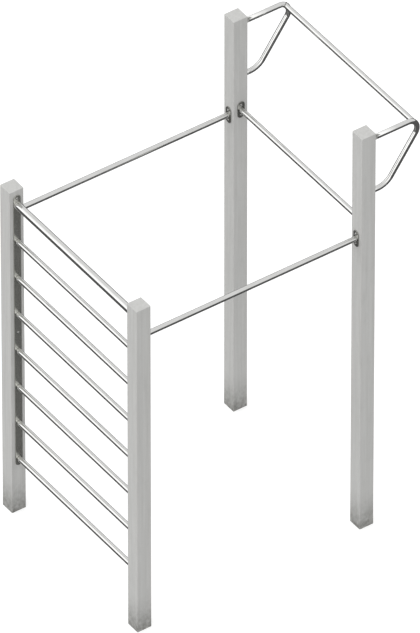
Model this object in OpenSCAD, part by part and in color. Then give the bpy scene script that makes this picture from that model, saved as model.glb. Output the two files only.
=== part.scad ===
// Monkey bars: four square posts carry a ladder of rungs, two side bars, a cross bar
// and a raised pull-up bar on two bent brackets. Sizes are in millimetres.
// +X runs along the rungs, +Y runs from the ladder to the pull-up bar, and +Z is up.
// The origin is at ground level, in the middle of the whole frame's footprint.

/* [Frame] */
// Distance between post centres, along the rungs
frame_w = 1300; // [900:10:1800]
// Distance between post centres, from the ladder to the pull-up bar
frame_d = 1600; // [1000:10:2400]
// Height of the two posts that carry the ladder
low_post_h = 2480; // [2000:10:3000]
// How much taller the two posts of the pull-up bar are
high_post_rise = 535; // [440:5:800]

/* [Posts] */
// Outer width of a post
post_w = 100; // [90:1:140]
// Radius of a post's upright edges
post_edge_r = 4; // [3:1:14]
// Bevel around the top of a post
post_bevel = 2; // [1:0.5:12]
// Solid material between the top of a core and the top of its post
post_crown = 20; // [12:1:24]
// Outer width of the steel core inside a post
core_w = 60; // [50:1:72]
// Radius of a core's upright edges
core_edge_r = 6; // [5:0.5:10]
// Wall of a core
core_wall = 4; // [3:0.5:5]
// Gap between a core and its post, on each side
core_gap = 0.4; // [0.2:0.1:0.8]

/* [Bars] */
// Outer diameter of the rungs, the bars and the brackets
bar_d = 33.7; // [26.9:0.1:42.4]
// Wall of these tubes
bar_wall = 2.6; // [2:0.1:3.6]
// Depth of the left side bar's centre below the top of the low posts
side_bar_drop = 200; // [120:5:400]
// Height that separates bars which share a post, so that their screws pass each other
bar_step = 50; // [46:1:90]

/* [Ladder] */
// Number of rungs under the top bar
rung_count = 7; // [3:1:7]
// Height of the lowest rung's centre
first_rung_z = 410; // [300:5:600]
// Outer diameter of the top bar
top_bar_d = 48.3; // [42.4:0.1:60.3]
// Wall of the top bar
top_bar_wall = 3; // [2:0.1:4]
// Depth of the top bar's centre below the top of the low posts
top_bar_drop = 105; // [90:1:160]
// Width of the two side plates
plate_w = 50; // [40:1:64]
// Thickness of the side plates
plate_t = 6; // [4:0.5:10]
// Gap between the top bar and the screw head above it
top_head_gap = 16; // [4:1:24]
// Gap between the lowest rung and the screw head below it
low_head_gap = 2; // [2:0.5:12]

/* [Flanges] */
// Width of a bar's end flange
flange_w = 50; // [40:1:64]
// Thickness of a flange
flange_t = 6; // [4:0.5:10]
// Gap between a bar and the screw heads beside it
head_gap = 12; // [4:0.5:16]
// Distance from a screw's centre to the end of its flange or plate
screw_edge = 21.4; // [16:0.1:30]

/* [Pull-up unit] */
// Depth of the upper arm's centre below the top of the high posts
arm_drop = 73; // [70:1:160]
// Distance from the posts to the furthest point of the bracket's centre line
arm_reach = 328; // [300:1:400]
// Straight length of the bracket's sloping strut
strut_l = 297; // [240:1:320]
// Slope of the strut, from level
strut_slope = 55; // [52:1:62]
// Centre-line radius of the elbow where the strut meets the upper arm
elbow_r = 67; // [50:1:80]
// Centre-line radius of the bend above the lower arm
heel_r = 120; // [60:1:130]
// Turn of the elbow, from the upper arm, at which the pull-up bar is welded
bar_turn = 37; // [0:1:90]
// Gap between the end of the pull-up bar and the elbow, filled by the weld
cope_gap = 0.3; // [0.2:0.05:0.5]

/* [Fasteners] */
// Diameter of a screw's shank
screw_d = 10; // [8:1:12]
// Diameter of a screw's head
head_d = 17.5; // [14:0.5:21]
// Height of a screw's head
head_h = 5.5; // [4.4:0.1:6.6]
// Diameter of the flat on top of a screw's head
head_flat_d = 9.5; // [8:0.5:12]
// Width across the flats of the hexagon socket
socket_w = 6; // [5:1:8]
// Depth of the hexagon socket
socket_depth = 3.2; // [2:0.1:4]
// Length of a threaded insert behind the core's outer face
insert_l = 22; // [16:1:24]
// Diameter of a threaded insert's body
insert_d = 13; // [11:0.5:15]
// Diameter of the insert's rim, which sits on the core
insert_rim_d = 18; // [15:0.5:20]
// Thickness of that rim
insert_rim_t = 1.5; // [1:0.1:2.5]
// Diameter of the collar that grips the core from inside
collar_d = 17; // [14:0.5:19]
// Length of that collar
collar_l = 5; // [3:0.5:8]
// Length of screw that stands out of the insert
screw_tip = 2; // [1:0.5:5]
// Added to the diameter of a hole that a screw or an insert passes through
hole_play = 1; // [0.4:0.1:2]
// Added to the diameter of the insert's thread, and of its hole in the core
thread_play = 0.2; // [0.1:0.05:0.4]

/* [Hidden] */
$fn = 96;
socket_sides = 6;
// A cutter reaches this far past the surface it cuts
over = 1;
// Sides of a bent tube, and steps along each of its two bends
tube_sides = 28;
elbow_steps = 10;
heel_steps = 5;

// Faces of a post, as the turn about Z that brings the -Y face to each of them
FRONT = 0;
RIGHT = 90;
BACK = 180;
LEFT = 270;

LEFT_SIDE = -1;
RIGHT_SIDE = 1;
FRONT_ROW = -1;
BACK_ROW = 1;

high_post_h = low_post_h + high_post_rise;
cover = (post_w - core_w) / 2;
bar_r = bar_d / 2;

top_bar_z = low_post_h - top_bar_drop;
rung_pitch = (top_bar_z - first_rung_z) / rung_count;
left_bar_z = low_post_h - side_bar_drop;
right_bar_z = left_bar_z - bar_step;
cross_bar_z = left_bar_z + bar_step;

screw_offset = bar_r + head_gap + head_d / 2;
top_screw_z = top_bar_z + top_bar_d / 2 + top_head_gap + head_d / 2;
low_screw_z = first_rung_z - bar_r - low_head_gap - head_d / 2;
mid_screw_z = first_rung_z + (floor(rung_count / 2) + 0.5) * rung_pitch;
ladder_screw_z = [low_screw_z, mid_screw_z, top_screw_z];

// The bracket's tube runs out level, round the elbow, back down the strut and round
// the heel to the post. Its bends are arcs, so each height and distance below adds up
// what every stretch climbs and how far out it goes.
elbow_turn = 180 - strut_slope;
elbow_out = arm_reach - elbow_r;
upper_arm_z = high_post_h - arm_drop;
lower_arm_z = upper_arm_z - elbow_r * (1 - cos(elbow_turn))
    - strut_l * sin(strut_slope) - heel_r * (1 - cos(strut_slope));
heel_out = elbow_out + elbow_r * sin(elbow_turn)
    - strut_l * cos(strut_slope) - heel_r * sin(strut_slope);
pull_up_out = elbow_out + elbow_r * sin(bar_turn);
pull_up_z = upper_arm_z - elbow_r * (1 - cos(bar_turn));

// The footprint runs from the low posts' front faces to the outside of the elbows.
footprint_d = frame_d + post_w + arm_reach + bar_r;
front_y = (post_w - footprint_d) / 2;
back_y = front_y + frame_d;

// Screws of each bar or plate, as [side of the frame, row of posts, face, height].
function inner(side) = side == LEFT_SIDE ? RIGHT : LEFT;
function side_bar_z(side) = side == LEFT_SIDE ? left_bar_z : right_bar_z;
function flange_screws(side, row, face, z) =
    [for (way = [-1, 1]) [side, row, face, z + way * screw_offset]];
function ladder_screws(side) =
    [for (z = ladder_screw_z) [side, FRONT_ROW, inner(side), z]];
function side_bar_screws(side) = concat(
    flange_screws(side, FRONT_ROW, BACK, side_bar_z(side)),
    flange_screws(side, BACK_ROW, FRONT, side_bar_z(side)));
function cross_bar_screws() = concat(
    flange_screws(LEFT_SIDE, BACK_ROW, RIGHT, cross_bar_z),
    flange_screws(RIGHT_SIDE, BACK_ROW, LEFT, cross_bar_z));
function bracket_screws(side) = concat(
    flange_screws(side, BACK_ROW, BACK, upper_arm_z),
    flange_screws(side, BACK_ROW, BACK, lower_arm_z));
function all_screws() = concat(
    cross_bar_screws(),
    [for (side = [LEFT_SIDE, RIGHT_SIDE]) each concat(
        ladder_screws(side), side_bar_screws(side), bracket_screws(side))]);
function screws_of_post(side, row) =
    [for (s = all_screws()) if (s[0] == side && s[1] == row) s];

RUNGS = [for (i = [1:rung_count]) str("ladder_rung_", i)];

// Places its children on a post's face: local Z points out of the face, local Y is up.
module on_face(side, row, face, z) {
    post_y = row == FRONT_ROW ? front_y : back_y;
    translate([side * frame_w / 2, post_y, z])
        rotate([90, 0, face])
            translate([0, 0, post_w / 2])
                children();
}

// A square with round corners.
module round_square(width, corner_r) {
    inside = width - 2 * corner_r;
    square([width, inside], center = true);
    square([inside, width], center = true);
    for (x = [-1, 1], y = [-1, 1])
        translate([x * inside / 2, y * inside / 2])
            circle(corner_r);
}

// Half of the bevel around a post's top, as a long ridge along Y.
module bevel_ridge(height) {
    half = post_w / 2;
    rotate([90, 0, 0])
        linear_extrude(post_w + 2 * over, center = true)
            polygon([
                [-half - post_bevel, 0],
                [half + post_bevel, 0],
                [half + post_bevel, height - 2 * post_bevel],
                [half - post_bevel, height],
                [-half + post_bevel, height],
                [-half - post_bevel, height - 2 * post_bevel]
            ]);
}

// A moulded grey post, hollow below its crown, drilled where bars are screwed on.
module post(side, row) {
    height = row == FRONT_ROW ? low_post_h : high_post_h;
    post_y = row == FRONT_ROW ? front_y : back_y;
    color("#c6c6c3")
        difference() {
            translate([side * frame_w / 2, post_y, 0])
                difference() {
                    intersection() {
                        linear_extrude(height)
                            round_square(post_w, post_edge_r);
                        bevel_ridge(height);
                        rotate([0, 0, 90])
                            bevel_ridge(height);
                    }
                    translate([0, 0, -over])
                        linear_extrude(height - post_crown + over)
                            round_square(core_w + 2 * core_gap, core_edge_r + core_gap);
                }
            for (s = screws_of_post(side, row))
                on_face(s[0], s[1], s[2], s[3])
                    translate([0, 0, -cover])
                        cylinder(h = cover + over, d = insert_rim_d + hole_play);
        }
}

// The galvanised steel tube inside a post, drilled for the threaded inserts.
module core(side, row) {
    height = (row == FRONT_ROW ? low_post_h : high_post_h) - post_crown;
    post_y = row == FRONT_ROW ? front_y : back_y;
    color("#8d9398")
        difference() {
            translate([side * frame_w / 2, post_y, 0])
                linear_extrude(height - core_gap)
                    difference() {
                        round_square(core_w, core_edge_r);
                        round_square(core_w - 2 * core_wall, core_edge_r - core_wall);
                    }
            for (s = screws_of_post(side, row))
                on_face(s[0], s[1], s[2], s[3])
                    translate([0, 0, -cover - core_wall - over])
                        cylinder(h = core_wall + 2 * over, d = insert_d + thread_play);
        }
}

// A flat plate with round ends, standing on local z = 0, with a hole at each height.
module round_end_plate(width, low, high, thickness, hole_heights) {
    end_r = width / 2;
    linear_extrude(thickness)
        difference() {
            union() {
                translate([-end_r, low + end_r])
                    square([width, high - low - width]);
                for (y = [low + end_r, high - end_r])
                    translate([0, y])
                        circle(end_r);
            }
            for (y = hole_heights)
                translate([0, y])
                    circle(d = screw_d + hole_play);
        }
}

// The flat side plate that holds one end of every rung.
module ladder_plate(side) {
    color("#5c5c56")
        on_face(side, FRONT_ROW, inner(side), 0)
            round_end_plate(plate_w, low_screw_z - screw_edge, top_screw_z + screw_edge,
                plate_t, ladder_screw_z);
}

// The plate that fixes one end of a bar to a post.
module flange(side, row, face, z) {
    half = screw_offset + screw_edge;
    color("#6a6a66")
        on_face(side, row, face, z)
            round_end_plate(flange_w, -half, half, flange_t,
                [-screw_offset, screw_offset]);
}

// The cross-section of a bar: a ring.
module ring(diameter, wall) {
    difference() {
        circle(d = diameter);
        circle(d = diameter - 2 * wall);
    }
}

// A straight tube along local Z.
module tube(length, diameter, wall) {
    linear_extrude(length)
        ring(diameter, wall);
}

// A tube across the frame, centred on x = 0.
module cross_tube(y, z, length, diameter, wall) {
    color("#d4d4d2")
        translate([-length / 2, y, z])
            rotate([0, 90, 0])
                tube(length, diameter, wall);
}

module ladder_bar(z, diameter, wall) {
    cross_tube(front_y, z, frame_w - post_w - 2 * plate_t, diameter, wall);
}

module side_bar(side) {
    color("#d4d4d2")
        on_face(side, FRONT_ROW, BACK, side_bar_z(side))
            translate([0, 0, flange_t])
                tube(frame_d - post_w - 2 * flange_t, bar_d, bar_wall);
}

module cross_bar() {
    cross_tube(back_y, cross_bar_z, frame_w - post_w - 2 * flange_t, bar_d, bar_wall);
}

// Places its children in a bracket's own plane: local X points out from the post's
// face, local Y is up from the ground, and local Z runs along the pull-up bar.
module in_bracket_plane(side) {
    translate([side * frame_w / 2, back_y + post_w / 2, 0])
        rotate([90, 0, 90])
            children();
}

// Places where the bent tube's section is drawn, as [distance out, height, turn so far].
function bracket_stations() = concat(
    [[flange_t, upper_arm_z, 0]],
    [for (i = [0:elbow_steps])
        let (turn = elbow_turn * i / elbow_steps)
        [elbow_out + elbow_r * sin(turn), upper_arm_z - elbow_r * (1 - cos(turn)), turn]],
    [for (i = [heel_steps:-1:0])
        let (left = strut_slope * i / heel_steps)
        [heel_out + heel_r * sin(left), lower_arm_z + heel_r * (1 - cos(left)), 180 - left]],
    [[flange_t, lower_arm_z, 180]]);

// Points of a round section of the given radius at every station.
function section_points(stations, radius) =
    [for (s = stations, i = [0:tube_sides - 1])
        let (around = 360 * i / tube_sides, lift = radius * cos(around))
        [s[0] + lift * sin(s[2]), s[1] + lift * cos(s[2]), radius * sin(around)]];

// Four-sided faces between the loops of points that start at the numbers a and b.
function loop_faces(a, b) =
    [for (i = [0:tube_sides - 1])
        let (next = (i + 1) % tube_sides)
        [a + i, b + i, b + next, a + next]];

// The bent tube that carries one end of the pull-up bar: level out from the post, down
// round the elbow, back along the strut and round the heel to the post again.
module bracket(side) {
    stations = bracket_stations();
    last = len(stations) - 1;
    inner_start = len(stations) * tube_sides;
    color("#d4d4d2")
        in_bracket_plane(side)
            polyhedron(
                points = concat(
                    section_points(stations, bar_r),
                    section_points(stations, bar_r - bar_wall)),
                faces = concat(
                    [for (k = [0:last - 1]) each
                        loop_faces(k * tube_sides, (k + 1) * tube_sides)],
                    [for (k = [0:last - 1]) each
                        loop_faces(inner_start + (k + 1) * tube_sides,
                            inner_start + k * tube_sides)],
                    loop_faces(inner_start, 0),
                    loop_faces(last * tube_sides, inner_start + last * tube_sides)));
}

// The bar for hanging, with its ends cut to fit around the two elbows.
module pull_up_bar() {
    difference() {
        cross_tube(back_y + post_w / 2 + pull_up_out, pull_up_z, frame_w, bar_d, bar_wall);
        for (side = [LEFT_SIDE, RIGHT_SIDE])
            in_bracket_plane(side)
                translate([elbow_out, upper_arm_z - elbow_r, 0])
                    rotate([0, 0, 90 - elbow_turn])
                        rotate_extrude(angle = elbow_turn)
                            translate([elbow_r, 0])
                                circle(d = bar_d + 2 * cope_gap);
    }
}

// A button-head screw along local Z, with the underside of its head at z = 0.
module screw(length) {
    rise = (pow(head_d / 2, 2) - pow(head_flat_d / 2, 2) - pow(head_h, 2)) / (2 * head_h);
    dome_r = norm([head_d / 2, rise]);
    color("#b9b9b6")
        difference() {
            union() {
                intersection() {
                    translate([0, 0, -rise])
                        sphere(dome_r);
                    cylinder(h = head_h, d = head_d);
                }
                translate([0, 0, -length])
                    cylinder(h = length + head_h / 2, d = screw_d);
            }
            translate([0, 0, head_h - socket_depth])
                cylinder(h = socket_depth + over, d = socket_w / cos(180 / socket_sides),
                    $fn = socket_sides);
        }
}

module screws(list, thickness) {
    for (s = list)
        on_face(s[0], s[1], s[2], s[3])
            translate([0, 0, thickness])
                screw(thickness + cover + insert_l + screw_tip);
}

// A threaded insert along local Z, with the underside of its rim at z = 0.
module insert() {
    color("#a3a7a2")
        difference() {
            union() {
                cylinder(h = insert_rim_t, d = insert_rim_d);
                translate([0, 0, -insert_l])
                    cylinder(h = insert_l, d = insert_d);
                translate([0, 0, -core_wall - collar_l])
                    cylinder(h = collar_l, d = collar_d);
            }
            translate([0, 0, -insert_l - over])
                cylinder(h = insert_l + insert_rim_t + 2 * over, d = screw_d + thread_play);
        }
}

module inserts(list) {
    for (s = list)
        on_face(s[0], s[1], s[2], s[3])
            translate([0, 0, -cover])
                insert();
}

post(LEFT_SIDE, FRONT_ROW);  // post_front_left
post(RIGHT_SIDE, FRONT_ROW);  // post_front_right
post(LEFT_SIDE, BACK_ROW);  // post_back_left
post(RIGHT_SIDE, BACK_ROW);  // post_back_right
core(LEFT_SIDE, FRONT_ROW);  // core_front_left
core(RIGHT_SIDE, FRONT_ROW);  // core_front_right
core(LEFT_SIDE, BACK_ROW);  // core_back_left
core(RIGHT_SIDE, BACK_ROW);  // core_back_right
ladder_plate(LEFT_SIDE);  // ladder_plate_left
ladder_plate(RIGHT_SIDE);  // ladder_plate_right
ladder_bar(top_bar_z, top_bar_d, top_bar_wall);  // ladder_top_bar
for (i = [0:rung_count - 1])
    ladder_bar(first_rung_z + i * rung_pitch, bar_d, bar_wall);
side_bar(LEFT_SIDE);  // side_bar_left
flange(LEFT_SIDE, FRONT_ROW, BACK, left_bar_z);  // side_bar_left_flange_front
flange(LEFT_SIDE, BACK_ROW, FRONT, left_bar_z);  // side_bar_left_flange_back
side_bar(RIGHT_SIDE);  // side_bar_right
flange(RIGHT_SIDE, FRONT_ROW, BACK, right_bar_z);  // side_bar_right_flange_front
flange(RIGHT_SIDE, BACK_ROW, FRONT, right_bar_z);  // side_bar_right_flange_back
cross_bar();
flange(LEFT_SIDE, BACK_ROW, RIGHT, cross_bar_z);  // cross_bar_flange_left
flange(RIGHT_SIDE, BACK_ROW, LEFT, cross_bar_z);  // cross_bar_flange_right
pull_up_bar();
bracket(LEFT_SIDE);  // bracket_left
bracket(RIGHT_SIDE);  // bracket_right
flange(LEFT_SIDE, BACK_ROW, BACK, upper_arm_z);  // bracket_left_flange_upper
flange(LEFT_SIDE, BACK_ROW, BACK, lower_arm_z);  // bracket_left_flange_lower
flange(RIGHT_SIDE, BACK_ROW, BACK, upper_arm_z);  // bracket_right_flange_upper
flange(RIGHT_SIDE, BACK_ROW, BACK, lower_arm_z);  // bracket_right_flange_lower
screws(ladder_screws(LEFT_SIDE), plate_t);  // ladder_screws_left
screws(ladder_screws(RIGHT_SIDE), plate_t);  // ladder_screws_right
screws(side_bar_screws(LEFT_SIDE), flange_t);  // side_bar_screws_left
screws(side_bar_screws(RIGHT_SIDE), flange_t);  // side_bar_screws_right
screws(cross_bar_screws(), flange_t);
screws(bracket_screws(LEFT_SIDE), flange_t);  // bracket_screws_left
screws(bracket_screws(RIGHT_SIDE), flange_t);  // bracket_screws_right
inserts(ladder_screws(LEFT_SIDE));  // ladder_inserts_left
inserts(ladder_screws(RIGHT_SIDE));  // ladder_inserts_right
inserts(side_bar_screws(LEFT_SIDE));  // side_bar_inserts_left
inserts(side_bar_screws(RIGHT_SIDE));  // side_bar_inserts_right
inserts(cross_bar_screws());  // cross_bar_inserts
inserts(bracket_screws(LEFT_SIDE));  // bracket_inserts_left
inserts(bracket_screws(RIGHT_SIDE));  // bracket_inserts_right
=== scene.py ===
"""Monkey bars on four square posts: a wall ladder, two side bars, a cross bar and a
raised pull-up bar on bent brackets.

Every piece is a surface worked out as a grid of points: a section carried along a path,
or a profile turned about an axis. Lengths are in metres and angles in radians.
+X runs along the rungs, +Y runs from the ladder to the pull-up bar, and +Z is up.
"""
import math

import bpy
import numpy as np
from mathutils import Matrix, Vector


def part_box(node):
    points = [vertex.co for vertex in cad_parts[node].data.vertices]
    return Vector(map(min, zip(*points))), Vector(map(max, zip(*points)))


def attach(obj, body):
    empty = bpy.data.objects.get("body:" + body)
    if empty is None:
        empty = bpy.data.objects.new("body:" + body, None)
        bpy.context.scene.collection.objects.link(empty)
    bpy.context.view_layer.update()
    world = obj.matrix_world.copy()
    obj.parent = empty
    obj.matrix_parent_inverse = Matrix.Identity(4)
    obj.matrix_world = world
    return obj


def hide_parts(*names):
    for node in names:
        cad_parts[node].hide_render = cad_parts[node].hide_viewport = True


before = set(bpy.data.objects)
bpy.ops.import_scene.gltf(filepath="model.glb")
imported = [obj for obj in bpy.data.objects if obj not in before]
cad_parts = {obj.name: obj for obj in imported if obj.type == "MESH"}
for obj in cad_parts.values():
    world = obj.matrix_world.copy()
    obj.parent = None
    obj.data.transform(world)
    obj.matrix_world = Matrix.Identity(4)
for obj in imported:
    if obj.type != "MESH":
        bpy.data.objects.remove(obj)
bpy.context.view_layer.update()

X = np.array([1.0, 0.0, 0.0])
Y = np.array([0.0, 1.0, 0.0])
Z = np.array([0.0, 0.0, 1.0])
MM = 0.001

# Posts
POST_EDGE_R = 4 * MM
POST_TOP_R = 2 * MM
POST_CROWN = 20 * MM
CORE_GAP = 0.4 * MM
CAVITY_EDGE_R = 6.4 * MM
FOOT_BEVEL = 1 * MM

# Bars
BAR_WALL = 2.6 * MM
TOP_BAR_WALL = 3 * MM
TUBE_SIDES = 72
COPE_GUARD = 6 * MM

# Plates and flanges
PLATE_EDGE_R = 1.2 * MM
PLATE_END_FLAT = 0.01 * MM

# Bracket: bends of the centre line, where the pull-up bar meets the elbow, and how much
# thinner the smooth tube is, so that its bends stay inside the flat-sided tube's box
ELBOW_R = 67 * MM
HEEL_R = 120 * MM
STRUT_L = 297 * MM
STRUT_SLOPE = math.radians(55)
ARM_REACH = 328 * MM
TUBE_SHRINK = 0.1 * MM

# Screws
SCREW_R = 5 * MM
HEAD_R = 8.75 * MM
HEAD_H = 5.5 * MM
HEAD_FLAT_R = 4.75 * MM
SOCKET_W = 6 * MM
SOCKET_DEPTH = 3.2 * MM
SCREW_L = 50 * MM
SCREW_CHAMFER = 0.8 * MM
HEAD_RIM_H = 0.8 * MM
HEAD_EDGE_R = 0.3 * MM
HEAD_SIDES = 48
SHANK_GUARD = 0.4 * MM
SOCKET_CHAMFER = 0.35 * MM
SOCKET_POINT = 0.6 * MM
SCREW_OFFSET = 37.6 * MM
SCREW_EDGE = 21.4 * MM

# Weld beads
BEAD_R = 1.2 * MM
BEAD_SIDES = 10
BEAD_STEPS = 192
BEAD_LIFT = 0.5 * MM
SEAM_LIFT = 0.4 * MM
SEAM_SHORT = 0.6 * MM
RIPPLE_PITCH = 1.5 * MM
RIPPLE_DEPTH = 0.14

# Light: brightness of the room in front of and behind the ladder and of the ground, as
# gloss and as matt surfaces see them, how high the ground's edge stands, and the lamp
GLOSS_FRONT = 1.6
GLOSS_BACK = 0.8
GLOSS_GROUND = 0.095
MATT_FRONT = 1.44
MATT_BACK = 0.82
MATT_GROUND = 0.84
SKYLINE_LOW = 0.05
SKYLINE_HIGH = 0.15
LAMP_ENERGY = 0.8
LAMP_SPREAD = math.radians(70)
LAMP_FROM = (-0.2, -0.25, 0.947)

# Floor: its radius, and how far it lies below the feet
FLOOR_R = 6.0
FLOOR_DROP = 0.3 * MM

# A row of points this close to a rounded edge keeps the flat beside it flat in shading
GUARD = 1.5 * MM


# ---------------------------------------------------------------- surfaces

def grid_faces(rows, columns, wrap_rows):
    """Four-sided faces of a grid of points. Columns always close round; rows close
    round too if wrap_rows is true."""
    r = np.arange(rows if wrap_rows else rows - 1)[:, None]
    c = np.arange(columns)[None, :]
    r2, c2 = (r + 1) % rows, (c + 1) % columns
    corners = [r * columns + c, r * columns + c2, r2 * columns + c2, r2 * columns + c]
    return np.stack([k.ravel() for k in corners], axis=1)


def signed_volume(points, faces):
    """Volume that the four-sided faces enclose, positive if they face outwards: a
    sixth of the sum of the boxes spanned by each triangle's three corners."""
    total = 0.0
    for i, j, k in ((0, 1, 2), (0, 2, 3)):
        a, b, c = points[faces[:, i]], points[faces[:, j]], points[faces[:, k]]
        total += float(np.einsum("ij,ij->i", a, np.cross(b, c)).sum())
    return total / 6


class Shape:
    """Points and faces that are gathered into one mesh."""

    def __init__(self):
        self.points, self.faces, self.count = [], [], 0

    def add(self, grid, wrap_rows=False):
        """Adds a closed grid of points, rows by columns. Rows that don't close round
        are capped at both ends with one flat face each."""
        rows, columns = grid.shape[:2]
        flat = grid.reshape(-1, 3)
        quads = grid_faces(rows, columns, wrap_rows)
        rings = [np.arange(columns)[::-1], (rows - 1) * columns + np.arange(columns)]
        centred = flat - flat.mean(axis=0)
        if signed_volume(centred, quads) < 0:
            quads = quads[:, ::-1]
            rings = [ring[::-1] for ring in rings]
        self.faces += (quads + self.count).tolist()
        if not wrap_rows:
            self.faces += [(ring + self.count).tolist() for ring in rings]
        self.points.append(flat)
        self.count += len(flat)
        return self

    def build(self, name, material, slot, *nodes):
        """Makes the mesh, and has it ride on the frame in place of the CAD nodes."""
        mesh = bpy.data.meshes.new(name)
        mesh.from_pydata(np.concatenate(self.points).tolist(), [], self.faces)
        mesh.polygons.foreach_set("use_smooth", np.ones(len(mesh.polygons), dtype=bool))
        mesh.validate()
        mesh.update()
        piece = bpy.data.objects.new(name, mesh)
        bpy.context.scene.collection.objects.link(piece)
        mesh.materials.append(material)
        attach(piece, "root")
        if nodes:
            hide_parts(*nodes)
        return piece


def turns(count):
    """Angles of a full circle, without the repeat at its end."""
    return np.linspace(0, 2 * math.pi, count, endpoint=False)


def turned(profile, base, axis, sides=TUBE_SIDES, spread=None):
    """A profile of (radius, distance along) turned about an axis through base. Where
    spread is given, it holds each row's radius at every angle instead of a circle's."""
    side_a = np.cross(axis, Z if abs(axis[2]) < 0.9 else X)
    side_a = side_a / np.linalg.norm(side_a)
    side_b = np.cross(axis, side_a)
    angle = turns(sides)
    around = np.outer(np.cos(angle), side_a) + np.outer(np.sin(angle), side_b)
    radius, along = np.asarray(profile).T
    radii = np.repeat(radius[:, None], sides, axis=1) if spread is None else spread
    return base + radii[:, :, None] * around[None] + along[:, None, None] * axis


def outline(half_a, half_b, corner, steps=8):
    """A rectangle with round corners, as points (a, b) going round once: four quarter
    circles whose centres are the corner's radius in from both sides."""
    quarter = np.linspace(0, math.pi / 2, steps + 1)
    angle = (quarter[None] + np.arange(4)[:, None] * math.pi / 2).ravel()
    sign_a = np.repeat([1, -1, -1, 1], steps + 1)
    sign_b = np.repeat([1, 1, -1, -1], steps + 1)
    a = sign_a * (half_a - corner) + corner * np.cos(angle)
    b = sign_b * (half_b - corner) + corner * np.sin(angle)
    return np.stack([a, b], axis=1)


def stacked(rows, centre, dir_a, dir_b, normal, steps=8):
    """Outlines stacked along a normal: each row is (half width, half height, corner
    radius, distance along the normal)."""
    loops = []
    for half_a, half_b, corner, lift in rows:
        loop = outline(half_a, half_b, corner, steps)
        loops.append(centre + np.outer(loop[:, 0], dir_a) + np.outer(loop[:, 1], dir_b)
                     + lift * normal)
    return np.stack(loops)


def fillet(radius, steps=6):
    """Inset and rise of a rounded edge, from the side (0, 0) to the top: a quarter
    circle."""
    angle = np.linspace(0, math.pi / 2, steps + 1)
    return radius * (1 - np.cos(angle)), radius * np.sin(angle)


def middle(node):
    """Centre of a CAD node's box."""
    low, high = (np.array(c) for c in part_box(node))
    return (low + high) / 2


def ends(node, axis):
    """Centres of the two ends of a node's box along an axis, and half its width
    across that axis."""
    low, high = (np.array(c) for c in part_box(node))
    centre, half = (low + high) / 2, (high - low) / 2
    return centre - axis * half, centre + axis * half, float(half @ Z)


# ---------------------------------------------------------------- materials

def principled(name, base, metallic, roughness):
    """A new material, as (material, add a node, link two sockets, its shader)."""
    material = bpy.data.materials.new(name)
    material.use_nodes = True
    tree = material.node_tree
    shader = tree.nodes["Principled BSDF"]
    shader.inputs["Base Color"].default_value = (*base, 1)
    shader.inputs["Metallic"].default_value = metallic
    shader.inputs["Roughness"].default_value = roughness

    def add(kind, **settings):
        node = tree.nodes.new(kind)
        for key, value in settings.items():
            if key in node.inputs:
                node.inputs[key].default_value = value
            else:
                setattr(node, key, value)
        return node

    return material, add, tree.links.new, shader


def stretched_noise(add, link, stretch, scale, detail=4.0, roughness=0.55):
    """Noise on the object's own coordinates, stretched by a factor for each axis."""
    place = add("ShaderNodeTexCoord")
    mapping = add("ShaderNodeMapping")
    mapping.inputs["Scale"].default_value = stretch
    noise = add("ShaderNodeTexNoise", Scale=scale, Detail=detail, Roughness=roughness)
    link(place.outputs["Object"], mapping.inputs["Vector"])
    link(mapping.outputs["Vector"], noise.inputs["Vector"])
    return noise.outputs["Fac"]


def spread_range(add, link, value, low, high, to_low, to_high):
    """The value, stretched from one range to another and held inside it."""
    node = add("ShaderNodeMapRange")
    node.clamp = True
    for key, number in (("From Min", low), ("From Max", high),
                        ("To Min", to_low), ("To Max", to_high)):
        node.inputs[key].default_value = number
    link(value, node.inputs["Value"])
    return node.outputs["Result"]


def blended(add, link, factor, first, second):
    """Two colours, or sockets of colour, mixed by a factor."""
    mix = add("ShaderNodeMix", data_type="RGBA")
    link(factor, mix.inputs["Factor"])
    for index, colour in ((6, first), (7, second)):
        if isinstance(colour, tuple):
            mix.inputs[index].default_value = (*colour, 1)
        else:
            link(colour, mix.inputs[index])
    return mix.outputs[2]


def mixed(add, link, factor, first, second):
    """Two values mixed by a factor."""
    mix = add("ShaderNodeMix", data_type="FLOAT")
    for index, value in enumerate((factor, first, second)):
        link(value, mix.inputs[(0, 2, 3)[index]])
    return mix.outputs[0]


def product(add, link, first, second, operation="MULTIPLY"):
    """Two values combined by one sum, product or other operation."""
    node = add("ShaderNodeMath", operation=operation)
    for index, value in enumerate((first, second)):
        if isinstance(value, float):
            node.inputs[index].default_value = value
        else:
            link(value, node.inputs[index])
    return node.outputs["Value"]


def raise_by(add, link, shader, height, distance, strength):
    """Bump from a height from 0 to 1, that stands distance metres tall at 1."""
    bump = add("ShaderNodeBump", Strength=strength, Distance=distance)
    link(height, bump.inputs["Height"])
    link(bump.outputs["Normal"], shader.inputs["Normal"])


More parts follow.
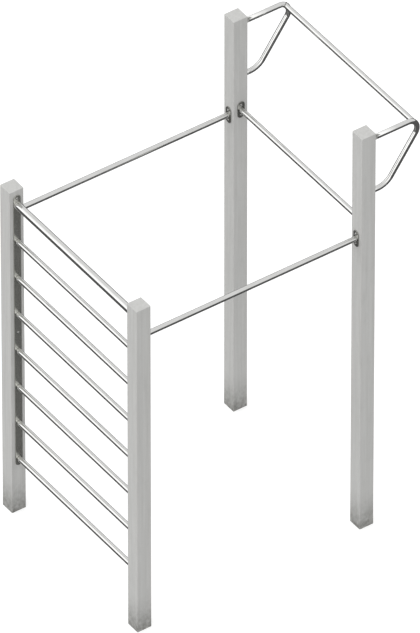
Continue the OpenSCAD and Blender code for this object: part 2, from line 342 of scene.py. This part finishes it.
def post_plastic():
    """Light grey moulded plastic: faint streaks along the post, soft mottling, fine
    specks, and a foot that turns darker in patches towards the ground."""
    material, add, link, shader = principled("post_plastic", (0.5, 0.5, 0.488), 0, 0.62)
    streaks = stretched_noise(add, link, (1, 1, 0.025), 75, 5)
    mottle = stretched_noise(add, link, (1, 1, 0.45), 16, 5, 0.65)
    specks = stretched_noise(add, link, (1, 1, 1), 420, 2)
    light = blended(add, link, spread_range(add, link, streaks, 0.32, 0.68, 0, 1),
                    (0.475, 0.475, 0.462), (0.53, 0.53, 0.518))
    clouded = blended(add, link, spread_range(add, link, mottle, 0.5, 0.78, 0, 0.5),
                      light, (0.43, 0.43, 0.418))
    speckled = blended(add, link, spread_range(add, link, specks, 0.62, 0.72, 0, 0.35),
                       clouded, (0.36, 0.36, 0.35))

    # The lowest 0.3 m of the post turns darker towards the ground, in patches, by height
    # alone.
    place = add("ShaderNodeTexCoord")
    axes = add("ShaderNodeSeparateXYZ")
    link(place.outputs["Object"], axes.inputs["Vector"])
    height = spread_range(add, link, axes.outputs["Z"], 0.0, 0.3, 1, 0)
    foot_patch_noise = stretched_noise(add, link, (1, 1, 0.8), 38, 6, 0.7)
    patchy = spread_range(add, link, foot_patch_noise, 0.3, 0.62, 0.25, 1)
    foot_darkening = product(add, link, product(add, link, height, 1.6, "POWER"), patchy)
    coloured = blended(add, link, foot_darkening, speckled, (0.165, 0.163, 0.15))
    link(coloured, shader.inputs["Base Color"])
    link(spread_range(add, link, mottle, 0.3, 0.7, 0.55, 0.72),
         shader.inputs["Roughness"])

    grain = stretched_noise(add, link, (1, 1, 0.3), 900, 3)
    drawn = product(add, link, product(add, link, streaks, 0.6), grain, "ADD")
    raise_by(add, link, shader, drawn, 0.00025, 0.6)
    return material


def stainless(name, light, dull, metallic, roughness, stretch, line_scale):
    """Stainless steel, softened by the fine lines of its polishing or brushing and by
    slightly dulled patches."""
    material, add, link, shader = principled(name, light, metallic, roughness)
    lines = stretched_noise(add, link, stretch, line_scale, 6, 0.7)
    haze = stretched_noise(add, link, (1, 1, 0.6), 11, 4)
    tone = blended(add, link, spread_range(add, link, haze, 0.35, 0.7, 0, 1), light, dull)
    link(tone, shader.inputs["Base Color"])
    link(spread_range(add, link, haze, 0.3, 0.7, roughness - 0.03, roughness + 0.05),
         shader.inputs["Roughness"])
    raise_by(add, link, shader, lines, 0.00002, 0.5)
    return material


def plain_steel(name, colour, worn, roughness, scale):
    """Small steel parts: an even finish with cloudy dulling."""
    material, add, link, shader = principled(name, colour, 1, roughness)
    cloud = stretched_noise(add, link, (1, 1, 1), scale, 5, 0.6)
    clouded = spread_range(add, link, cloud, 0.4, 0.7, 0, 1)
    tone = blended(add, link, clouded, colour, worn)
    link(tone, shader.inputs["Base Color"])
    link(spread_range(add, link, cloud, 0.3, 0.7, roughness - 0.06, roughness + 0.08),
         shader.inputs["Roughness"])
    raise_by(add, link, shader, cloud, 0.00004, 0.4)
    return material


def galvanised():
    """Dipped zinc: a spangle of flat grey crystals, each a little lighter or darker."""
    material, add, link, shader = principled("galvanised", (0.5, 0.52, 0.54), 1, 0.45)
    place = add("ShaderNodeTexCoord")
    crystals = add("ShaderNodeTexVoronoi", Scale=110.0)
    link(place.outputs["Object"], crystals.inputs["Vector"])
    tone = add("ShaderNodeSeparateColor")
    link(crystals.outputs["Color"], tone.inputs["Color"])
    link(blended(add, link, tone.outputs["Red"], (0.42, 0.44, 0.46), (0.58, 0.6, 0.62)),
         shader.inputs["Base Color"])
    link(spread_range(add, link, tone.outputs["Green"], 0, 1, 0.38, 0.55),
         shader.inputs["Roughness"])
    raise_by(add, link, shader, crystals.outputs["Distance"], 0.00005, 0.4)
    return material


def floor_paint():
    """Plain white floor with a barely visible grain, lit from within a little so that
    it stays as pale as the room."""
    material, add, link, shader = principled("floor_paint", (0.5, 0.5, 0.5), 0, 0.9)
    shader.inputs["Specular IOR Level"].default_value = 0
    shader.inputs["Emission Color"].default_value = (1, 1, 1, 1)
    shader.inputs["Emission Strength"].default_value = 0.6
    grain = stretched_noise(add, link, (1, 1, 1), 3, 3)
    link(blended(add, link, grain, (0.49, 0.49, 0.49), (0.51, 0.51, 0.51)),
         shader.inputs["Base Color"])
    return material


PLASTIC = post_plastic()
BAR = stainless("polished_bar", (0.84, 0.84, 0.83), (0.78, 0.78, 0.765), 1, 0.09,
                (1, 1, 1), 260)
PLATE = stainless("brushed_plate", (0.6, 0.6, 0.56), (0.49, 0.49, 0.455), 0.85, 0.2,
                  (1, 1, 0.04), 320)
FLANGE = stainless("brushed_flange", (0.42, 0.42, 0.395), (0.34, 0.34, 0.32), 0.87, 0.18,
                   (1, 1, 0.06), 320)
SCREW = plain_steel("screw_steel", (0.52, 0.52, 0.51), (0.4, 0.4, 0.39), 0.16, 160)
WELD = plain_steel("weld_steel", (0.36, 0.355, 0.33), (0.22, 0.215, 0.2), 0.38, 220)
INSERT = plain_steel("insert_zinc", (0.6, 0.61, 0.58), (0.45, 0.46, 0.43), 0.4, 120)
CORE = galvanised()


# ---------------------------------------------------------------- posts

def post(node):
    """A square post with rounded upright edges and a rounded top, hollow up to its
    crown: one run of outlines from the cavity's roof, down its wall, under the foot,
    up the outside and over the top."""
    low, high = (np.array(c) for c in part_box(node))
    core_low, core_high = (np.array(c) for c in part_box(node.replace("post", "core")))
    half = (high[0] - low[0]) / 2
    cavity = (core_high[0] - core_low[0]) / 2 + CORE_GAP
    height = high[2] - low[2]
    inset, rise = fillet(POST_TOP_R)
    inner = [
        (cavity - GUARD, CAVITY_EDGE_R - GUARD, height - POST_CROWN),
        (cavity, CAVITY_EDGE_R, height - POST_CROWN),
        (cavity, CAVITY_EDGE_R, height - POST_CROWN - GUARD),
        (cavity, CAVITY_EDGE_R, FOOT_BEVEL),
        (cavity + FOOT_BEVEL, CAVITY_EDGE_R + FOOT_BEVEL, 0),
    ]
    outer = [
        (half - FOOT_BEVEL, POST_EDGE_R - FOOT_BEVEL, 0),
        (half, POST_EDGE_R, FOOT_BEVEL),
        (half, POST_EDGE_R, FOOT_BEVEL + GUARD),
        (half, POST_EDGE_R, height - POST_TOP_R - GUARD),
    ]
    top = [(half - i, POST_EDGE_R - i, height - POST_TOP_R + r)
           for i, r in zip(inset, rise)]
    crown = [(half - POST_TOP_R - GUARD, POST_EDGE_R - POST_TOP_R - GUARD, height)]
    rows = [(h, h, corner, z) for h, corner, z in inner + outer + top + crown]
    foot = np.array([(low[0] + high[0]) / 2, (low[1] + high[1]) / 2, low[2]])
    shape = Shape().add(stacked(rows, foot, X, Y, Z))
    return shape.build(node + "_shell", PLASTIC, "post_plastic", node)


# ---------------------------------------------------------------- tubes

def straight_tube(node, axis, wall):
    """A hollow tube: its outer wall, square end, bore and other end, turned as one
    closed profile."""
    start, finish, radius = ends(node, axis)
    length = float(np.linalg.norm(finish - start))
    bore = radius - wall
    profile = [(radius, 0), (radius, GUARD), (radius, length - GUARD), (radius, length),
               (bore, length), (bore, 0)]
    shape = Shape().add(turned(profile, start, axis), wrap_rows=True)
    return shape.build(node + "_tube", BAR, "bar_steel", node)


def bracket_path(side):
    """Centre line of a bracket, as points and the direction straight up from the tube:
    level out, round the elbow, back along the strut and round the heel to the post."""
    _, post_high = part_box(f"post_back_{side}")
    face, x = post_high[1], middle(f"post_back_{side}")[0]
    arm_z = middle(f"bracket_{side}_flange_upper")[2]
    foot_z = middle(f"bracket_{side}_flange_lower")[2]
    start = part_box(f"bracket_{side}_flange_upper")[1][1] - face
    elbow_out = ARM_REACH - ELBOW_R
    elbow_turn = math.pi - STRUT_SLOPE
    heel_out = (elbow_out + ELBOW_R * math.sin(elbow_turn)
                - STRUT_L * math.cos(STRUT_SLOPE) - HEEL_R * math.sin(STRUT_SLOPE))
    bend = np.linspace(0, elbow_turn, 41)
    left = np.linspace(STRUT_SLOPE, 0, 21)
    out = np.concatenate([[start], elbow_out + ELBOW_R * np.sin(bend),
                          heel_out + HEEL_R * np.sin(left), [start]])
    up = np.concatenate([[arm_z], arm_z - ELBOW_R * (1 - np.cos(bend)),
                         foot_z + HEEL_R * (1 - np.cos(left)), [foot_z]])
    turn = np.concatenate([[0], bend, math.pi - left, [math.pi]])
    centre = np.stack([np.full_like(out, x), face + out, up], axis=1)
    lift = np.outer(np.sin(turn), Y) + np.outer(np.cos(turn), Z)
    elbow = np.array([x, face + elbow_out, arm_z - ELBOW_R])
    return centre, lift, elbow


def swept(centre, lift, radius):
    """A circle carried along a path, in the plane of each point's lift and X."""
    angle = turns(TUBE_SIDES)
    around = (np.cos(angle)[None, :, None] * lift[:, None, :]
              + np.sin(angle)[None, :, None] * X)
    return centre[:, None, :] + radius * around


def bracket(side):
    """The bent tube: its outer wall carried along the centre line, then its bore
    carried back."""
    node = f"bracket_{side}"
    centre, lift, _ = bracket_path(side)
    radius = middle("cross_bar")[2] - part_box("cross_bar")[0][2] - TUBE_SHRINK
    outer = swept(centre, lift, radius)
    bore = swept(centre[::-1], lift[::-1], radius - BAR_WALL)
    shape = Shape().add(np.concatenate([outer, bore]), wrap_rows=True)
    return shape.build(node + "_tube", BAR, "bar_steel", node)


def cope(radius, elbow, axis_y, axis_z, tube_r, angle):
    """How far the bar's wall stops short of the elbow's centre plane, at each angle
    round the bar. A point of the wall lies off the elbow's centre line by q, in that
    plane, and the elbow's tube is the square root of tube radius squared less q squared
    thick there."""
    dy = axis_y + radius * np.sin(angle) - elbow[1]
    dz = axis_z + radius * np.cos(angle) - elbow[2]
    q = np.hypot(dy, dz) - ELBOW_R
    return np.sqrt(np.maximum(tube_r ** 2 - q ** 2, 0))


def pull_up_bar():
    """The hanging bar, its walls running out to the two elbows, and the weld that
    closes each joint along the same curve."""
    low, high = (np.array(c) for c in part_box("pull_up_bar"))
    radius = (high[2] - low[2]) / 2
    y, z = (low[1] + high[1]) / 2, (low[2] + high[2]) / 2
    angle = turns(TUBE_SIDES)
    elbows = {side: bracket_path(side)[2] for side in ("left", "right")}

    def wall(r, side, sign, short):
        """One loop of the bar's wall, a little short of an elbow."""
        elbow = elbows[side]
        stop = elbow[0] - sign * (cope(r, elbow, y, z, radius, angle) + short)
        return np.stack([stop, y + r * np.sin(angle), z + r * np.cos(angle)], axis=1)

    bore = radius - BAR_WALL
    loops = [wall(radius, "left", -1, 0), wall(radius, "left", -1, COPE_GUARD),
             wall(radius, "right", 1, COPE_GUARD), wall(radius, "right", 1, 0),
             wall(bore, "right", 1, 0), wall(bore, "left", -1, 0)]
    shape = Shape().add(np.stack(loops), wrap_rows=True)
    shape.build("pull_up_bar_tube", BAR, "bar_steel", "pull_up_bar")

    for side, sign in (("left", -1), ("right", 1)):
        fine = turns(BEAD_STEPS)
        seam = radius + SEAM_LIFT
        away = cope(seam, elbows[side], y, z, radius, fine)
        path = np.stack([elbows[side][0] - sign * (away + SEAM_SHORT),
                         y + seam * np.sin(fine), z + seam * np.cos(fine)], axis=1)
        out = np.stack([np.zeros_like(fine), np.sin(fine), np.cos(fine)], axis=1)
        Shape().add(bead(path, out, -sign * X), wrap_rows=True).build(
            f"weld_pull_up_{side}", WELD, "bar_steel")


# ---------------------------------------------------------------- welds

def bead(path, out, along):
    """A rippled bead on a closed path: a small circle whose radius swells and sinks
    once for each ripple."""
    length = float(np.linalg.norm(path - np.roll(path, 1, axis=0), axis=1).sum())
    ripples = round(length / RIPPLE_PITCH)
    phase = turns(len(path)) * ripples
    radius = BEAD_R * (1 - RIPPLE_DEPTH * (0.5 + 0.5 * np.cos(phase)))
    angle = turns(BEAD_SIDES)
    ring = (np.cos(angle)[None, :, None] * out[:, None, :]
            + np.sin(angle)[None, :, None] * along)
    return path[:, None, :] + radius[:, None, None] * ring


def weld_ring(centre, axis, tube_r):
    """The bead round a tube's end, where it stands on a plate: axis points from the
    plate along the tube."""
    side_a = np.cross(axis, Z)
    side_b = np.cross(axis, side_a)
    angle = turns(BEAD_STEPS)
    out = np.outer(np.cos(angle), side_a) + np.outer(np.sin(angle), side_b)
    path = centre + (tube_r + BEAD_LIFT) * out + BEAD_LIFT * axis
    return bead(path, out, axis)


def end_welds(name, nodes, axis):
    """The beads at both ends of each tube in a list, as one piece."""
    shape = Shape()
    for node in nodes:
        start, finish, radius = ends(node, axis)
        shape.add(weld_ring(start, axis, radius), wrap_rows=True)
        shape.add(weld_ring(finish, -axis, radius), wrap_rows=True)
    return shape.build(name, WELD, "bar_steel")


def bracket_welds(side):
    """The beads where a bracket's two arms stand on their flanges."""
    centre, lift, _ = bracket_path(side)
    radius = middle("cross_bar")[2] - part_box("cross_bar")[0][2]
    shape = Shape()
    for end in (centre[0], centre[-1]):
        shape.add(weld_ring(end, Y, radius), wrap_rows=True)
    return shape.build(f"weld_bracket_{side}", WELD, "bar_steel")


# ---------------------------------------------------------------- plates and screws

def round_end_plate(node, along_face, normal, material, slot):
    """A flat plate with round ends and softened edges: outlines stacked from its back
    to its front."""
    low, high = (np.array(c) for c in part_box(node))
    half = (high - low) / 2
    half_a, half_b = float(half @ np.abs(along_face)), float(half[2])
    thick = 2 * float(half @ np.abs(normal))
    back = (low + high) / 2 - normal * thick / 2
    inset, rise = fillet(PLATE_EDGE_R, 4)
    rows = [(half_a - GUARD, half_b - GUARD, half_a - GUARD, 0),
            (half_a, half_b, half_a, 0),
            (half_a, half_b, half_a, GUARD / 2)]
    rows += [(half_a - i, half_b - i, half_a - i, thick - PLATE_EDGE_R + r)
             for i, r in zip(inset, rise)]
    flat = half_a - PLATE_EDGE_R - GUARD
    rows.append((flat, flat + half_b - half_a, flat, thick))
    rows = [(a, b, corner - PLATE_END_FLAT, lift) for a, b, corner, lift in rows]
    shape = Shape().add(stacked(rows, back, along_face, Z, normal, 16))
    return shape.build(node + "_plate", material, slot, node)


def screw(bearing, normal):
    """A button-head screw whose head bears on the point given: the profile runs from
    the tip, up the shank, under and over the head, and down into the socket, whose
    rows follow a hexagon instead of a circle."""
    dome = np.linspace(0, 1, 7)
    dome_r = HEAD_R - (HEAD_R - HEAD_FLAT_R) * dome ** 1.6
    dome_h = HEAD_RIM_H + (HEAD_H - HEAD_RIM_H) * np.sin(dome * math.pi / 2)
    profile = [(SCREW_R - SCREW_CHAMFER, -SCREW_L), (SCREW_R, -SCREW_L + SCREW_CHAMFER),
               (SCREW_R, -SHANK_GUARD), (SCREW_R, 0),
               (HEAD_R - HEAD_EDGE_R, 0), (HEAD_R, HEAD_EDGE_R)]
    profile += list(zip(dome_r, dome_h))
    sector = math.pi / 3
    from_flat = (turns(HEAD_SIDES) + sector / 2) % sector - sector / 2
    hexagon = SOCKET_W / 2 / np.cos(from_flat)
    floor_h = HEAD_H - SOCKET_DEPTH
    rows = [np.full(HEAD_SIDES, r) for r, _ in profile]
    rows += [hexagon + SOCKET_CHAMFER, hexagon, hexagon, hexagon * 0.5]
    lifts = [h for _, h in profile]
    lifts += [HEAD_H, HEAD_H - SOCKET_CHAMFER, floor_h, floor_h - SOCKET_POINT]
    no_radius = np.zeros(len(lifts))
    return turned(np.stack([no_radius, lifts], axis=1), bearing, normal, HEAD_SIDES,
                  np.stack(rows))


def screws(node, bearings):
    """All the screws of one group, as (bearing point, outward normal) pairs."""
    shape = Shape()
    for point, normal in bearings:
        shape.add(screw(point, normal))
    return shape.build(node + "_heads", SCREW, "screw_steel", node)


def flange_bearings(node, normal):
    """Where the two screws of a flange bear, above and below its bar."""
    low, high = (np.array(c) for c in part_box(node))
    centre = (low + high) / 2
    face = centre + normal * float((high - low) @ np.abs(normal)) / 2
    return [(face + way * SCREW_OFFSET * Z, normal) for way in (-1, 1)]


def plate_bearings(node, normal):
    """Where the three screws of a ladder plate bear: near its two ends, and half-way
    between the middle rungs."""
    low, high = (np.array(c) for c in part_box(node))
    centre = (low + high) / 2
    face = centre + normal * (high[0] - low[0]) / 2
    between = (middle("ladder_rung_4")[2] + middle("ladder_rung_5")[2]) / 2
    heights = (low[2] + SCREW_EDGE, between, high[2] - SCREW_EDGE)
    return [(np.array([face[0], face[1], z]), normal) for z in heights]


# ---------------------------------------------------------------- assembly

INWARD = {"left": X, "right": -X}


def finish_node(node, material):
    """Gives a CAD node that stays as it is its own material."""
    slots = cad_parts[node].data.materials
    slots.clear()
    slots.append(material)


for row in ("front", "back"):
    for side in ("left", "right"):
        post(f"post_{row}_{side}")
        finish_node(f"core_{row}_{side}", CORE)

RUNGS = [f"ladder_rung_{i}" for i in range(1, 8)]
for rung in RUNGS:
    straight_tube(rung, X, BAR_WALL)
straight_tube("ladder_top_bar", X, TOP_BAR_WALL)
straight_tube("cross_bar", X, BAR_WALL)
straight_tube("side_bar_left", Y, BAR_WALL)
straight_tube("side_bar_right", Y, BAR_WALL)
pull_up_bar()

end_welds("weld_ladder", RUNGS + ["ladder_top_bar"], X)
end_welds("weld_cross_bar", ["cross_bar"], X)
end_welds("weld_side_bars", ["side_bar_left", "side_bar_right"], Y)

for side, inward in INWARD.items():
    plate = f"ladder_plate_{side}"
    round_end_plate(plate, Y, inward, PLATE, "plate_steel")
    screws(f"ladder_screws_{side}", plate_bearings(plate, inward))

    bracket(side)
    bracket_welds(side)
    upper, lower = (f"bracket_{side}_flange_{level}" for level in ("upper", "lower"))
    front, back = (f"side_bar_{side}_flange_{row}" for row in ("front", "back"))
    for node, normal in ((upper, Y), (lower, Y), (front, Y), (back, -Y)):
        round_end_plate(node, X, normal, FLANGE, "flange_steel")
    screws(f"bracket_screws_{side}",
           flange_bearings(upper, Y) + flange_bearings(lower, Y))
    screws(f"side_bar_screws_{side}",
           flange_bearings(front, Y) + flange_bearings(back, -Y))
    round_end_plate(f"cross_bar_flange_{side}", Y, inward, FLANGE, "flange_steel")

screws("cross_bar_screws", flange_bearings("cross_bar_flange_left", X)
       + flange_bearings("cross_bar_flange_right", -X))

for group in ("ladder", "side_bar", "bracket"):
    for side in ("left", "right"):
        finish_node(f"{group}_inserts_{side}", INSERT)
finish_node("cross_bar_inserts", INSERT)


# ---------------------------------------------------------------- stage

def floor():
    """A round floor that only the camera sees: the tubes reflect the room's dark ground
    in its place."""
    angle = turns(128)
    rim = np.stack([FLOOR_R * np.cos(angle), FLOOR_R * np.sin(angle),
                    np.full_like(angle, -FLOOR_DROP)], axis=1)
    mesh = bpy.data.meshes.new("floor")
    mesh.from_pydata(rim.tolist(), [], [list(range(len(rim)))])
    mesh.materials.append(floor_paint())
    ground = bpy.data.objects.new("floor", mesh)
    bpy.context.scene.collection.objects.link(ground)
    ground.visible_glossy = False
    ground.visible_diffuse = False


def studio_light():
    """A white room, brighter in front of the ladder than behind it. Below the horizon
    gloss sees a dark ground, and matt surfaces see a light one, as of the floor. A broad
    lamp lifts what faces up."""
    world = bpy.data.worlds.new("studio")
    bpy.context.scene.world = world
    world.use_nodes = True
    tree = world.node_tree
    tree.nodes.clear()
    link = tree.links.new

    def add(kind, **settings):
        node = tree.nodes.new(kind)
        for key, value in settings.items():
            setattr(node, key, value)
        return node

    place, axes = add("ShaderNodeTexCoord"), add("ShaderNodeSeparateXYZ")
    link(place.outputs["Generated"], axes.inputs["Vector"])
    ray = add("ShaderNodeLightPath")
    gloss = ray.outputs["Is Glossy Ray"]
    front = spread_range(add, link, gloss, 0, 1, MATT_FRONT, GLOSS_FRONT)
    back = spread_range(add, link, gloss, 0, 1, MATT_BACK, GLOSS_BACK)
    ground = spread_range(add, link, gloss, 0, 1, MATT_GROUND, GLOSS_GROUND)
    behind = spread_range(add, link, axes.outputs["Y"], -1, 0, 0, 1)
    above = spread_range(add, link, axes.outputs["Z"], SKYLINE_LOW, SKYLINE_HIGH, 0, 1)
    room = mixed(add, link, behind, front, back)
    level = mixed(add, link, above, ground, room)
    light, seen = add("ShaderNodeBackground"), add("ShaderNodeBackground")
    link(level, light.inputs["Strength"])
    light.inputs["Color"].default_value = (1, 1, 1, 1)
    seen.inputs["Color"].default_value = (1, 1, 1, 1)
    mix, out = add("ShaderNodeMixShader"), add("ShaderNodeOutputWorld")
    link(ray.outputs["Is Camera Ray"], mix.inputs["Fac"])
    link(light.outputs["Background"], mix.inputs[1])
    link(seen.outputs["Background"], mix.inputs[2])
    link(mix.outputs["Shader"], out.inputs["Surface"])

    lamp = bpy.data.lights.new("soft_lamp", "SUN")
    lamp.energy = LAMP_ENERGY
    lamp.angle = LAMP_SPREAD
    holder = bpy.data.objects.new("soft_lamp", lamp)
    holder.visible_glossy = False
    holder.rotation_mode = "QUATERNION"
    holder.rotation_quaternion = Vector(LAMP_FROM).to_track_quat("Z", "Y")
    bpy.context.scene.collection.objects.link(holder)


def camera():
    """A long lens far away, so that parallel bars stay almost parallel."""
    lens = 1140
    azimuth, elevation = math.radians(55.01), math.radians(40.63)
    distance = 118.7
    aim = Vector((-0.5483, 0.3709, 0.8866))
    back = Vector((math.sin(azimuth) * math.cos(elevation),
                   -math.cos(azimuth) * math.cos(elevation), math.sin(elevation)))
    data = bpy.data.cameras.new("camera")
    data.lens = lens
    data.clip_start, data.clip_end = 1.0, 400.0
    holder = bpy.data.objects.new("camera", data)
    holder.rotation_mode = "QUATERNION"
    holder.location = aim + back * distance
    holder.rotation_quaternion = back.to_track_quat("Z", "Y")
    bpy.context.scene.collection.objects.link(holder)
    bpy.context.scene.camera = holder


floor()
studio_light()
camera()
bpy.context.scene.view_settings.view_transform = "Standard"
